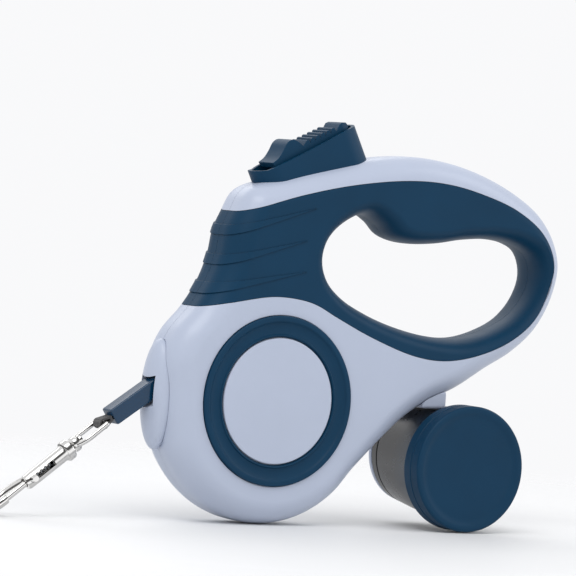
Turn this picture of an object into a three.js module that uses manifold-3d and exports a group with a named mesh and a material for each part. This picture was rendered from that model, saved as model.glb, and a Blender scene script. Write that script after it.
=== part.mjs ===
// A retractable dog leash: a slim drum with a loop handle, a thumb brake on top,
// a tape that leaves at the nose with a bolt snap on its end, and a waste bag
// dispenser held crosswise under the tail of the handle.
//
// Millimetres, +Z up. The nose points along -X, the drum's axis runs along Y,
// and the left side of the leash is at -Y. The origin is on the floor under the drum.

import * as THREE from 'three';
import { mergeVertices } from 'three/addons/utils/BufferGeometryUtils.js';
import Module from 'manifold-3d';

const wasm = await Module();
wasm.setup();

// ---------- driving dimensions ----------

const GAP = 0.3;                 // between pieces that touch on the real leash
const HALF_THICK = 12;           // casing, from the parting plane to a side face
const WALL = 2.2;                // casing wall
const GRIP_SKIN = 2.6;           // thickness of the soft-touch grip panels
const EDGE_REACH = 8.5;          // how far the rounded casing edge reaches inwards
const EDGE_START = 3;            // the edge is straight this far from the parting plane

const DRUM = { x: 1, z: 43, r: 43 };
const DRUM_CAVITY_R = 39.6;
const CAVITY_HALF = HALF_THICK - WALL;
const NECK_HALF = HALF_THICK - GRIP_SKIN - GAP - WALL;

const RING_OUTER_R = 29.5;
const RING_INNER_R = 22;
const RECESS = 0.9;              // depth of the round recess that the trim ring sits in

const AXLE_R = 4;
const TAPE = { width: 4.6, thick: 0.7, innerR: 14.3, outerR: 29 };
const HUB = { r: 14, boreR: 12.6 };
const FLANGE = { r: 32.5, inner: 3.4, outer: 4.6 };
const RATCHET_TEETH = 18;

const SLEEVE = { length: 22.7, width: 6.4, height: 6, inside: 3 };
const SLEEVE_DIR = new THREE.Vector3(-0.82, 0, -0.572).normalize();
const NOSE_EXIT = new THREE.Vector3(-41.5, 0, 45.8);
const GUIDE = { width: 8.5, height: 8.1, wall: 0.7, from: -5.5, to: 0.5 };
const ROLLER = { x: -35.1, z: 53.8, r: 2.4, pinR: 0.9 };

const SNAP_DIR = new THREE.Vector3(-0.79, 0, -0.613).normalize();
const SNAP_ROLL = 4.887;          // how far the hook is rolled towards the left
const KNOB_TURN = Math.PI / 2;      // puts the thumb knob opposite the limb of the hook
const FRAME_SHIFT = new THREE.Vector3(-9.03, 0.6, 0);  // puts the origin under the middle of the box
const EYE_REACH = 23.6;          // from the nose exit to the bar of the swivel eye
const BOLT = { r: 1.05, boreR: 1.35, from: 31, to: 43, knob: 32, travel: 8.5 };

const BRAKE_PIVOT = { x: -6, z: 101, r: 1.2 };
const BUTTON_HALF_WIDTH = 4.9;

const CAP = { x: 76.8, z: 22.4, r: 22.2, face: -21.5, skirt: 9, wall: 0.9 };
const CUP = { nearR: 21, farR: 18.4, from: -18.6, to: 13.5, wall: 1.6, rise: 2, lean: 1.4 };
const PLUG_THICK = 4;
const HOOP = { from: 18.1, to: 20.3, wall: 3.2 };

const COLOUR = {
  casing: 0xbbc4d5,
  navy: 0x1d3f5c,
  cup: 0x26323d,
  black: 0x17181b,
  chrome: 0xb9bcc0,
  steel: 0x9a9ea3,
  nylon: 0xd9d6cc,
  bag: 0x3c6e55,
  card: 0xb59b75,
};

// ---------- helpers: materials, solids and outlines ----------

const leash = new THREE.Group();

function finish(colour, roughness, metalness = 0) {
  return new THREE.MeshStandardMaterial({ color: colour, roughness, metalness });
}

const casingPlastic = finish(COLOUR.casing, 0.42);
const navyPlastic = finish(COLOUR.navy, 0.55);
const blackPlastic = finish(COLOUR.black, 0.45);
const cupPlastic = finish(COLOUR.cup, 0.25);
const nylon = finish(COLOUR.nylon, 0.5);
const steel = finish(COLOUR.steel, 0.3, 1);
const chrome = finish(COLOUR.chrome, 0.12, 1);
const tapeWeave = finish(COLOUR.black, 0.9);

function addPart(name, geometry, material, parent = leash) {
  const mesh = new THREE.Mesh(geometry, material);
  mesh.name = name;
  parent.add(mesh);
  return mesh;
}

// A closed mesh as a solid that can be joined and cut.
function solid(source) {
  const geometry = source.clone();
  geometry.deleteAttribute('normal');
  geometry.deleteAttribute('uv');
  const merged = mergeVertices(geometry, 1e-4);
  const index = merged.index.array;
  const corners = [];
  for (let i = 0; i < index.length; i += 3) {
    const [a, b, c] = [index[i], index[i + 1], index[i + 2]];
    if (a !== b && b !== c && c !== a) {
      corners.push(a, b, c);
    }
  }
  const mesh = new wasm.Mesh({
    numProp: 3,
    vertProperties: Float32Array.from(merged.attributes.position.array),
    triVerts: Uint32Array.from(corners),
  });
  return new wasm.Manifold(mesh);
}

// A solid back as a mesh.
function geometryOf(manifold) {
  const mesh = manifold.getMesh();
  const geometry = new THREE.BufferGeometry();
  geometry.setAttribute('position', new THREE.BufferAttribute(mesh.vertProperties, 3));
  geometry.setIndex(new THREE.BufferAttribute(mesh.triVerts, 1));
  geometry.computeVertexNormals();
  return geometry;
}

function box(sizeX, sizeY, sizeZ, x, y, z) {
  return new THREE.BoxGeometry(sizeX, sizeY, sizeZ).translate(x, y, z);
}

// A cylinder along Y.
function rod(radius, length, x, y, z, sides = 24) {
  return new THREE.CylinderGeometry(radius, radius, length, sides).translate(x, y, z);
}

// A piece turned about an axis along Y through (x, z), from a profile of [radius, y].
function turned(profile, x, z, sides = 32) {
  const loop = anticlockwise(profile.map(([radius, y]) => new THREE.Vector2(radius, y)));
  return solid(new THREE.LatheGeometry([...loop, loop[0]], sides).translate(x, 0, z));
}

// A closed curve through points [x, z] of the side view, sampled evenly.
function closedCurve(points, samples) {
  const knots = points.map(([x, z]) => new THREE.Vector3(x, z, 0));
  const curve = new THREE.CatmullRomCurve3(knots, true, 'centripetal');
  const loop = [];
  for (let i = 0; i < samples; i += 1) {
    const p = curve.getPointAt(i / samples);
    loop.push(new THREE.Vector2(p.x, p.y));
  }
  return anticlockwise(loop);
}

function anticlockwise(loop) {
  return THREE.ShapeUtils.isClockWise(loop) ? [...loop].reverse() : loop;
}

// The loop moved inwards by a distance (outwards when the distance is negative).
function inset(loop, distance) {
  const count = loop.length;
  return loop.map((point, i) => {
    const before = loop[(i + count - 1) % count];
    const after = loop[(i + 1) % count];
    const along = after.clone().sub(before).normalize();
    const inwards = new THREE.Vector2(-along.y, along.x).multiplyScalar(distance);
    return point.clone().add(inwards);
  });
}

// A closed skin through loops of equal length, each at its own Y, with flat ends.
// The loops run anticlockwise and the levels rise.
function loft(loops, levels) {
  const count = loops[0].length;
  const positions = [];
  const faces = [];
  loops.forEach((loop, k) => {
    loop.forEach((p) => positions.push(p.x, levels[k], p.y));
  });
  for (let k = 0; k + 1 < loops.length; k += 1) {
    for (let i = 0; i < count; i += 1) {
      const a = k * count + i;
      const b = k * count + ((i + 1) % count);
      faces.push(a, a + count, b, b, a + count, b + count);
    }
  }
  const lastRow = (loops.length - 1) * count;
  THREE.ShapeUtils.triangulateShape(loops[0], []).forEach(([a, b, c]) => {
    faces.push(a, b, c);
  });
  THREE.ShapeUtils.triangulateShape(loops[loops.length - 1], []).forEach(([a, b, c]) => {
    faces.push(lastRow + a, lastRow + c, lastRow + b);
  });
  const geometry = new THREE.BufferGeometry();
  geometry.setAttribute('position', new THREE.Float32BufferAttribute(positions, 3));
  geometry.setIndex(faces);
  return solid(geometry);
}

// A straight prism of a side-view loop between two Y levels.
function prism(loop, from, to) {
  return loft([loop, loop], [from, to]);
}

function corners(points) {
  return anticlockwise(points.map(([x, z]) => new THREE.Vector2(x, z)));
}

// The outline of a strip of even thickness along a centre line of the side view.
function strip(centres, thick) {
  const last = centres.length - 1;
  const offsets = centres.map((point, i) => {
    const along = centres[Math.min(i + 1, last)].clone().sub(centres[Math.max(i - 1, 0)]);
    return new THREE.Vector2(-along.y, along.x).normalize().multiplyScalar(thick / 2);
  });
  const left = centres.map((point, i) => point.clone().add(offsets[i]));
  const right = centres.map((point, i) => point.clone().sub(offsets[i])).reverse();
  return anticlockwise([...left, ...right]);
}

// A round bar along a curve through points [x, y, z].
function wire(points, radius, steps, sides = 6) {
  const curve = new THREE.CatmullRomCurve3(points.map((p) => new THREE.Vector3(...p)));
  const section = new THREE.Shape();
  for (let i = 0; i < sides; i += 1) {
    const angle = (i / sides) * 2 * Math.PI;
    const at = [radius * Math.cos(angle), radius * Math.sin(angle)];
    if (i === 0) {
      section.moveTo(...at);
    } else {
      section.lineTo(...at);
    }
  }
  section.closePath();
  return solid(new THREE.ExtrudeGeometry(section, { steps, extrudePath: curve }));
}

// ---------- outlines of the side view ----------

// The drum's own arc, from the tail root round the bottom to the nose.
function drumArc() {
  const points = [];
  for (let degrees = -34; degrees >= -154; degrees -= 12) {
    const angle = THREE.MathUtils.degToRad(degrees);
    points.push([DRUM.x + DRUM.r * Math.cos(angle), DRUM.z + DRUM.r * Math.sin(angle)]);
  }
  return points;
}

const BODY_LOOP = closedCurve([
  ...drumArc(),
  [-39.6, 33], [-40.8, 46], [-41, 56], [-37.4, 65], [-29.8, 74], [-24.3, 83], [-21.1, 92],
  [-19.7, 100.5], [-16.9, 107], [-12.6, 114.5], [2, 119.8], [20, 124.6], [38, 128.6],
  [54.5, 130.2], [70, 128.9], [84, 125.5], [98, 119.8], [108.6, 113], [115.3, 104.5],
  [118.3, 95], [116.1, 83], [109.8, 71.6], [100.3, 63.1], [90, 57.1], [78, 49.7],
  [65, 43.8], [56, 37.8], [47.5, 30],
], 54);

const OPENING_LOOP = closedCurve([
  [18.3, 92.5], [20.5, 86], [27, 80], [38, 74.6], [51, 70.4], [66, 67.6], [79, 67.4],
  [91, 70.6], [101.5, 76.3], [107.8, 84], [109.8, 91.5], [107, 98.2], [99.5, 101.9],
  [88.5, 103.1], [77, 102.2], [66, 100.3], [54, 99.8], [47, 101.6], [42.2, 105.7],
  [35, 108.8], [26, 105], [20, 99],
], 34);

const GRIP_LOOP = closedCurve([
  [-52, 72.4], [-36, 72.8], [-20, 76], [-3, 78.8], [8.6, 78.1], [14.5, 76.6], [23, 72.7],
  [38, 66.4], [56, 60.8], [68.4, 59.6], [81.5, 61.7], [96, 67.4], [106, 75.3],
  [111.8, 86.3], [112.9, 96.4], [108, 105.4], [96, 113.5], [77, 119.4], [62.7, 121.6],
  [48, 121.6], [27, 118.9], [6, 114.1], [-26, 104.3], [-36, 102.8], [-52, 102.6],
], 50);

// ---------- casing and grips ----------

// The whole body of the leash with its rounded edges, shrunk by a distance on every side.
function bodySolid(shrink) {
  const half = HALF_THICK - shrink;
  const loops = [];
  const levels = [];
  const steps = 3;
  for (let k = -steps; k <= steps; k += 1) {
    const angle = (Math.abs(k) / steps) * (Math.PI / 2);
    const reach = EDGE_REACH * (1 - Math.cos(angle));
    loops.push(inset(BODY_LOOP, shrink + reach));
    levels.push(Math.sign(k) * (EDGE_START + (half - EDGE_START) * Math.sin(angle)));
    if (k === 0) {
      loops.pop();
      levels.pop();
      loops.push(inset(BODY_LOOP, shrink), inset(BODY_LOOP, shrink));
      levels.push(-EDGE_START, EDGE_START);
    }
  }
  return loft(loops, levels);
}

// The finger opening as a cutter that flares towards both sides, for a rounded edge.
function openingCutter() {
  const flare = 5.5;
  const straight = 1.5;
  const loops = [];
  const levels = [];
  const steps = 3;
  for (let k = 0; k <= steps; k += 1) {
    const angle = (k / steps) * (Math.PI / 2);
    const grow = flare * (1 - Math.cos(angle));
    const level = straight + (HALF_THICK - straight) * Math.sin(angle);
    loops.push(inset(OPENING_LOOP, -grow));
    levels.push(level);
    loops.unshift(inset(OPENING_LOOP, -grow));
    levels.unshift(-level);
  }
  const past = HALF_THICK + 2;
  loops.push(loops[loops.length - 1]);
  levels.push(past);
  loops.unshift(loops[0]);
  levels.unshift(-past);
  return loft(loops, levels);
}

// Everything on one side of the parting plane; side is -1 for left and 1 for right.
function sideSpace(side) {
  const size = 400;
  return solid(box(size, size, size, 0, side * (size / 2 + GAP / 2), 0));
}

// Eight screws: four round the drum, one in the neck and three in the handle.
const DRUM_SCREW_R = 36.8;
const SCREWS = [
  ...[20, 128, 232, 308].map((degrees) => {
    const angle = THREE.MathUtils.degToRad(degrees);
    return {
      x: DRUM.x + DRUM_SCREW_R * Math.cos(angle),
      z: DRUM.z + DRUM_SCREW_R * Math.sin(angle),
    };
  }),
  { x: -12.8, z: 93.2 }, { x: 58, z: 112 }, { x: 93, z: 111.5 }, { x: 70, z: 55.5 },
];
const SCREW = { shankR: 1.1, headR: 2.3, headThick: 1.6, headTop: 10, bossR: 2.9, clearR: 1.5 };

// The hollow inside the casing: the drum room, the neck, the handle's top bar and the tail.
function cavity() {
  const drumRoom = solid(new THREE.LatheGeometry([
    new THREE.Vector2(0, -CAVITY_HALF),
    new THREE.Vector2(DRUM_CAVITY_R - 6.5, -CAVITY_HALF),
    new THREE.Vector2(DRUM_CAVITY_R - 1.6, -CAVITY_HALF + 3.2),
    new THREE.Vector2(DRUM_CAVITY_R, -EDGE_START),
    new THREE.Vector2(DRUM_CAVITY_R, EDGE_START),
    new THREE.Vector2(DRUM_CAVITY_R - 1.6, CAVITY_HALF - 3.2),
    new THREE.Vector2(DRUM_CAVITY_R - 6.5, CAVITY_HALF),
    new THREE.Vector2(0, CAVITY_HALF),
  ], 32).translate(DRUM.x, 0, DRUM.z));
  const neckRoom = prism(closedCurve([
    [-27, 70], [-19, 84], [-18, 96], [-13, 106], [2, 111.5], [13, 113], [15, 106],
    [13.5, 99], [12.5, 88], [17, 78], [5, 70],
  ], 32), -NECK_HALF, NECK_HALF);
  const barRoom = prism(closedCurve([
    [44, 118.5], [46, 112], [58, 106.5], [74, 108], [84, 109], [84, 114], [70, 118.6],
    [56, 120.4],
  ], 20), -NECK_HALF, NECK_HALF);
  const tailRoom = prism(closedCurve([
    [44, 60], [48, 50], [54, 45.5], [64, 51], [76, 58], [62, 57.5], [52, 59],
  ], 18), -NECK_HALF, NECK_HALF);
  const stemShaft = solid(box(11, 7.4, 16, 10.2, 0, 113));
  const rollerRoom = solid(rod(ROLLER.r + 0.8, 2 * CAVITY_HALF - 2, ROLLER.x, 0, ROLLER.z, 16));
  return drumRoom.add(neckRoom).add(barRoom).add(tailRoom).add(stemShaft).add(rollerRoom);
}

function screwBosses() {
  const length = 2 * (HALF_THICK - 2);
  const bosses = SCREWS.map(({ x, z }) => solid(rod(SCREW.bossR, length, x, 0, z, 10)));
  return wasm.Manifold.union(bosses);
}

// Screws go in from the right: a counterbore and clearance there, a blind pilot on the left.
function screwHoles(side) {
  const pilotDepth = 8;
  const holes = SCREWS.map(({ x, z }) => {
    if (side < 0) {
      return solid(rod(SCREW.shankR + GAP, pilotDepth, x, -pilotDepth / 2, z, 8));
    }
    const seat = SCREW.headTop - SCREW.headThick - GAP;
    const hole = solid(rod(SCREW.clearR, 30, x, 10, z, 8));
    return hole.add(solid(rod(SCREW.headR + GAP, 10, x, seat + 5, z, 10)));
  });
  return wasm.Manifold.union(holes);
}

// A straight bar of a given section through the nose, along the way the tape leaves.
function noseBar(width, height, from, to) {
  const bar = new THREE.BoxGeometry(to - from, width, height);
  bar.translate((from + to) / 2, 0, 0);
  bar.rotateY(Math.PI - Math.atan2(-SLEEVE_DIR.z, -SLEEVE_DIR.x));
  return solid(bar.translate(NOSE_EXIT.x, 0, NOSE_EXIT.z));
}

// The egg-shaped boss on the nose, with a flat back.
function noseBoss(clearance) {
  const egg = new THREE.SphereGeometry(1, 28, 20);
  egg.scale(5 + clearance, 7.5 + clearance, 19 + clearance).translate(-39.9, 0, 43);
  const front = 40;
  return solid(egg).intersect(solid(box(front, 60, 60, -38.4 + clearance - front / 2, 0, 43)));
}

function casing(side, body, underGrip, gripRoom, openingZone, hollow) {
  const skinCut = gripRoom.subtract(underGrip);
  let shell = body.subtract(skinCut).subtract(openingZone).subtract(hollow);
  shell = shell.add(screwBosses().intersect(underGrip.subtract(openingZone)));
  const spoolRoom = solid(rod(FLANGE.r + 1.2, 2 * CAVITY_HALF, DRUM.x, 0, DRUM.z, 32));
  shell = shell.subtract(spoolRoom).subtract(trayHull(GAP)).subtract(screwHoles(side));
  shell = shell.subtract(noseBoss(GAP)).subtract(noseBar(GUIDE.width + 1, GUIDE.height + 1, -9, 9));
  const medallion = solid(rod(RING_OUTER_R + GAP, 2 * RECESS, DRUM.x, side * HALF_THICK, DRUM.z, 40));
  const axleSocket = solid(rod(AXLE_R + GAP, 1.6, DRUM.x, side * CAVITY_HALF, DRUM.z, 16));
  const pinSocket = { r: BRAKE_PIVOT.r + GAP, length: 2 * NECK_HALF + 2 };
  const pivotHole = solid(rod(pinSocket.r, pinSocket.length, BRAKE_PIVOT.x, 0, BRAKE_PIVOT.z, 12));
  const rollerHole = solid(rod(ROLLER.pinR + GAP, 2 * CAVITY_HALF + 0.6, ROLLER.x, 0, ROLLER.z, 12));
  shell = shell.subtract(medallion).subtract(axleSocket).subtract(pivotHole);
  shell = shell.subtract(rollerHole).subtract(hangerTongue(GAP)).intersect(sideSpace(side));
  return largestPiece(shell);
}

function largestPiece(manifold) {
  const pieces = manifold.decompose();
  return pieces.reduce((best, piece) => (piece.volume() > best.volume() ? piece : best));
}

function grip(side, body, gripBack, gripZone, openingBack, cutter) {
  let panel = body.intersect(gripZone);
  panel = panel.subtract(gripBack.subtract(openingBack));
  panel = panel.subtract(cutter).intersect(sideSpace(side));
  const holes = screwHoles(side);
  return largestPiece(side > 0 ? panel.subtract(holes) : panel);
}

function addCasing() {
  const reach = HALF_THICK + 5;
  const body = bodySolid(0);
  const gripBack = bodySolid(GRIP_SKIN);
  const underGrip = bodySolid(GRIP_SKIN + GAP);
  const lining = 3;
  const openingBack = prism(inset(OPENING_LOOP, -lining), -reach, reach);
  const openingZone = prism(inset(OPENING_LOOP, -lining - GAP), -reach, reach);
  const gripZone = prism(GRIP_LOOP, -reach, reach);
  const gripRoom = prism(inset(GRIP_LOOP, -GAP), -reach, reach);
  const cutter = openingCutter();
  const hollow = cavity();
  [['left', -1], ['right', 1]].forEach(([word, side]) => {
    const shell = casing(side, body, underGrip, gripRoom, openingZone, hollow);
    addPart(`${word}_casing`, geometryOf(shell), casingPlastic);
    const panel = grip(side, body, gripBack, gripZone, openingBack, cutter);
    addPart(`${word}_grip`, geometryOf(panel), navyPlastic);
  });
}

// ---------- round trims on both sides ----------

function addTrims() {
  const seat = HALF_THICK - RECESS + GAP;
  const proud = HALF_THICK + 0.9;
  const discFace = HALF_THICK + 0.4;
  [['left', -1], ['right', 1]].forEach(([word, side]) => {
    const ringProfile = [
      [RING_INNER_R, seat], [RING_OUTER_R, seat], [RING_OUTER_R, proud - 0.6],
      [RING_OUTER_R - 0.6, proud], [RING_OUTER_R - 1.9, proud], [RING_OUTER_R - 2.7, proud - 0.5],
      [RING_INNER_R + 2.6, proud - 0.9], [RING_INNER_R + 1, proud - 0.5], [RING_INNER_R, discFace],
    ];
    const ring = ringProfile.map(([radius, y]) => [radius, side * y]);
    addPart(`${word}_trim_ring`, geometryOf(turned(ring, DRUM.x, DRUM.z, 36)), navyPlastic);
    const discProfile = [
      [0, seat], [RING_INNER_R - 0.4, seat], [RING_INNER_R - 0.4, discFace - 0.3],
      [RING_INNER_R - 0.8, discFace], [0, discFace],
    ];
    const disc = discProfile.map(([radius, y]) => [radius, side * y]);
    addPart(`${word}_centre_disc`, geometryOf(turned(disc, DRUM.x, DRUM.z, 40)), casingPlastic);
  });
}

// ---------- spool, tape and spring ----------

const AXLE_END = CAVITY_HALF + 0.5;

function ratchetRing() {
  const points = [];
  const toothDepth = 2;
  for (let i = 0; i < RATCHET_TEETH; i += 1) {
    const angle = (i / RATCHET_TEETH) * 2 * Math.PI;
    const root = FLANGE.r - toothDepth;
    points.push([DRUM.x + FLANGE.r * Math.cos(angle), DRUM.z + FLANGE.r * Math.sin(angle)]);
    const next = angle + 0.02;
    points.push([DRUM.x + root * Math.cos(next), DRUM.z + root * Math.sin(next)]);
  }
  return prism(corners(points), FLANGE.inner, FLANGE.outer);
}

function addSpool() {
  const ratchetBase = FLANGE.r - 4;
  const body = turned([
    [AXLE_R + GAP, -FLANGE.outer], [FLANGE.r, -FLANGE.outer], [FLANGE.r, -FLANGE.inner],
    [HUB.r, -FLANGE.inner], [HUB.r, FLANGE.inner], [ratchetBase, FLANGE.inner],
    [ratchetBase, FLANGE.outer], [HUB.boreR, FLANGE.outer], [HUB.boreR, -FLANGE.inner],
    [AXLE_R + GAP, -FLANGE.inner],
  ], DRUM.x, DRUM.z, 36);
  const bore = solid(rod(HUB.r - 0.5, 30, DRUM.x, 0, DRUM.z, 36));
  addPart('spool', geometryOf(body.add(ratchetRing().subtract(bore))), nylon);

  const half = TAPE.width / 2;
  const roll = turned([
    [TAPE.innerR, -half], [TAPE.outerR, -half], [TAPE.outerR, half], [TAPE.innerR, half],
  ], DRUM.x, DRUM.z, 40);
  addPart('wound_tape', geometryOf(roll), tapeWeave);

  const cover = turned([
    [AXLE_R + GAP, FLANGE.inner], [HUB.boreR - GAP, FLANGE.inner],
    [HUB.boreR - GAP, FLANGE.outer], [AXLE_R + GAP, FLANGE.outer],
  ], DRUM.x, DRUM.z);
  addPart('spring_cover', geometryOf(cover), nylon);
  addPart('spool_axle', rod(AXLE_R, 2 * AXLE_END, DRUM.x, 0, DRUM.z), steel);

  [['left', -1], ['right', 1]].forEach(([word, side]) => {
    const [from, to] = [side * (FLANGE.outer + GAP), side * (CAVITY_HALF - GAP)];
    const bushR = AXLE_R + 3;
    const bush = turned([
      [AXLE_R + GAP, from], [bushR, from], [bushR, to], [AXLE_R + GAP, to],
    ], DRUM.x, DRUM.z, 24);
    addPart(`spool_bush_${word}`, geometryOf(bush), nylon);
  });
}

// The flat spiral spring in the hub that winds the tape back in.
function addPowerSpring() {
  const turns = 6;
  const stepsPerTurn = 12;
  const innerR = AXLE_R + 0.7;
  const outerR = HUB.boreR - 0.7;
  const centres = [];
  for (let i = 0; i <= turns * stepsPerTurn; i += 1) {
    const share = i / (turns * stepsPerTurn);
    const angle = share * turns * 2 * Math.PI;
    const radius = innerR + (outerR - innerR) * share;
    centres.push(new THREE.Vector2(
      DRUM.x + radius * Math.cos(angle),
      DRUM.z + radius * Math.sin(angle),
    ));
  }
  const halfWidth = 2.8;
  addPart('power_spring', geometryOf(prism(strip(centres, 0.3), -halfWidth, halfWidth)), steel);
}

// The outer turn of tape, from the roll under the guide roller and out into the sleeve.
function addTapeRun() {
  const centres = [];
  const runR = TAPE.outerR + GAP + TAPE.thick / 2;
  for (let degrees = 98; degrees <= 133; degrees += 7) {
    const angle = THREE.MathUtils.degToRad(degrees);
    centres.push(new THREE.Vector2(
      DRUM.x + runR * Math.cos(angle),
      DRUM.z + runR * Math.sin(angle),
    ));
  }
  const underRoller = ROLLER.r + GAP + TAPE.thick / 2;
  [43.3, 33.9].forEach((degrees) => {
    const angle = THREE.MathUtils.degToRad(degrees);
    centres.push(new THREE.Vector2(
      ROLLER.x + underRoller * Math.sin(angle),
      ROLLER.z - underRoller * Math.cos(angle),
    ));
  });
  const end = NOSE_EXIT.clone().addScaledVector(SLEEVE_DIR, SLEEVE.length - SLEEVE.inside - GAP);
  centres.push(new THREE.Vector2(end.x, end.z));
  const half = TAPE.width / 2;
  addPart('tape_run', geometryOf(prism(strip(centres, TAPE.thick), -half, half)), tapeWeave);

  const rollerHalf = 4.2;
  const roller = turned([
    [ROLLER.pinR + GAP, -rollerHalf], [ROLLER.r, -rollerHalf], [ROLLER.r, rollerHalf],
    [ROLLER.pinR + GAP, rollerHalf],
  ], ROLLER.x, ROLLER.z, 16);
  addPart('guide_roller', geometryOf(roller), nylon);
  const pin = rod(ROLLER.pinR, 2 * CAVITY_HALF, ROLLER.x, 0, ROLLER.z, 12);
  addPart('guide_roller_pin', pin, steel);
}

// ---------- nose ----------

// The boss with a slot for the tape guide, and the guide in it.
function addNose() {
  let plate = noseBoss(0);
  plate = plate.subtract(noseBar(GUIDE.width + 2 * GAP, GUIDE.height + 2 * GAP, -12, 12));
  plate = plate.subtract(solid(rod(ROLLER.r + 0.8, 30, ROLLER.x, 0, ROLLER.z, 16)));
  addPart('nose_plate', geometryOf(largestPiece(plate)), casingPlastic);

  const throat = { width: GUIDE.width - 2 * GUIDE.wall, height: GUIDE.height - 2 * GUIDE.wall };
  const guide = noseBar(GUIDE.width, GUIDE.height, GUIDE.from, GUIDE.to)
    .subtract(noseBar(throat.width, throat.height, GUIDE.from - 1, GUIDE.to + 1))
    .subtract(solid(rod(ROLLER.r + 0.6, 30, ROLLER.x, 0, ROLLER.z, 16)));
  addPart('tape_guide', geometryOf(guide), blackPlastic);
}

// ---------- thumb brake ----------

const TRAY_TILT = Math.atan2(16, 30.2);
const TRAY = { from: 48.1, to: 92.2, half: 7, wall: 1.3, floor: 1.6 };
const TRAY_SIDE = [
  [-12, 120.7], [-5.8, 121.7], [12.6, 131.2], [24.4, 137.7], [30, 139.8], [40, 129],
  [40, 127], [30, 125], [8.5, 119.3], [-12, 113.4],
];

// The boat-shaped plan of the tray, cut along its tilted rim and standing square to it.
function trayPlan(grow) {
  const { from, to } = TRAY;
  const half = TRAY.half + grow;
  const middle = (from + to) / 2;
  const straight = (to - from) / 2 - 8.5;
  const outline = new THREE.Shape();
  const arcSteps = 10;
  for (let i = 0; i <= 2 * arcSteps; i += 1) {
    const sternward = i <= arcSteps;
    const share = (sternward ? i : i - 0.0001) / arcSteps;
    const angle = -Math.PI / 2 + share * Math.PI;
    const length = 8.5 + grow;
    const centre = middle + (Math.cos(angle) >= 0 ? straight : -straight);
    const at = [centre + length * Math.cos(angle), half * Math.sin(angle)];
    if (i === 0) {
      outline.moveTo(...at);
    } else {
      outline.lineTo(...at);
    }
  }
  outline.closePath();
  const plan = new THREE.ExtrudeGeometry(outline, { depth: 200, bevelEnabled: false });
  return solid(plan.rotateY(-TRAY_TILT));
}

function traySide(grow, lift) {
  const reach = 20;
  const loop = inset(corners(TRAY_SIDE), -grow);
  return prism(loop.map((point) => new THREE.Vector2(point.x, point.y + lift)), -reach, reach);
}

function trayHull(grow) {
  return trayPlan(grow).intersect(traySide(grow, 0));
}

function addBrake() {
  const hollow = trayPlan(-TRAY.wall).intersect(traySide(0, TRAY.floor).add(traySide(0, 8)));
  const stemHole = solid(box(9.4, 6.2, 30, 10.1, 0, 118));
  addPart('brake_tray', geometryOf(trayHull(0).subtract(hollow).subtract(stemHole)), navyPlastic);

  const ribs = [];
  const ribCount = 6;
  for (let i = 0; i < ribCount; i += 1) {
    const crest = [9.7 + 2.02 * i, 133.2 + 0.98 * i];
    ribs.push(crest, [crest[0] + 1.5, crest[1] - 0.7]);
  }
  const pad = prism(corners([
    [-3.6, 124.5], [-1, 127.1], [0.8, 130.9], [4.1, 132.8], [6.3, 132.1], [8.5, 131.1],
    ...ribs, [23.2, 140.1], [25.7, 140.3], [26.9, 138.6], [26.2, 133.8], [15, 129.4],
    [-2.4, 122.8],
  ]), -BUTTON_HALF_WIDTH, BUTTON_HALF_WIDTH).intersect(trayPlan(-TRAY.wall - 2 * GAP));
  const stem = solid(box(7, 5, 21, 9.6, 0, 119.5));
  addPart('brake_button', geometryOf(pad.add(stem)), navyPlastic);

  const leverFrom = 0.4;
  const leverTo = 5.2;
  const lever = prism(corners([
    [-9.4, 101.5], [-8.5, 104], [-6, 104.8], [2, 105], [8, 105.6], [10.6, 108.4],
    [13.2, 108.4], [13.6, 106.2], [9, 102.6], [1, 99.6], [0.5, 96], [6, 86], [11.2, 79.4],
    [9.2, 78.2], [1, 84], [-5, 94.5], [-9, 98.5],
  ]), leverFrom, leverTo);
  const pinHole = solid(rod(BRAKE_PIVOT.r + GAP, 30, BRAKE_PIVOT.x, 0, BRAKE_PIVOT.z, 12));
  addPart('brake_lever', geometryOf(lever.subtract(pinHole)), nylon);
  const pin = rod(BRAKE_PIVOT.r, 2 * NECK_HALF + 1.4, BRAKE_PIVOT.x, 0, BRAKE_PIVOT.z, 12);
  addPart('brake_lever_pin', pin, steel);

  const coil = [];
  const turns = 4;
  for (let i = 0; i <= turns * 10; i += 1) {
    const angle = (i / 10) * 2 * Math.PI;
    const radius = 2.1;
    const y = -5.6 + (5.2 * i) / (turns * 10);
    coil.push([BRAKE_PIVOT.x + radius * Math.cos(angle), y, BRAKE_PIVOT.z + radius * Math.sin(angle)]);
  }
  addPart('brake_lever_spring', geometryOf(wire(coil, 0.35, turns * 9, 5)), steel);
}

// ---------- case screws ----------

function addScrews() {
  SCREWS.forEach(({ x, z }, i) => {
    const neck = SCREW.headTop - SCREW.headThick;
    const tip = -6.5;
    const screw = turned([
      [0, tip], [SCREW.shankR, tip + 1], [SCREW.shankR, neck], [SCREW.headR, neck],
      [SCREW.headR, SCREW.headTop], [0.8, SCREW.headTop], [0.8, SCREW.headTop - 1],
      [0, SCREW.headTop - 1],
    ], x, z, 8);
    addPart(`case_screw_${i + 1}`, geometryOf(screw), steel);
  });
}

// ---------- tape end, swivel and bolt snap ----------

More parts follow.
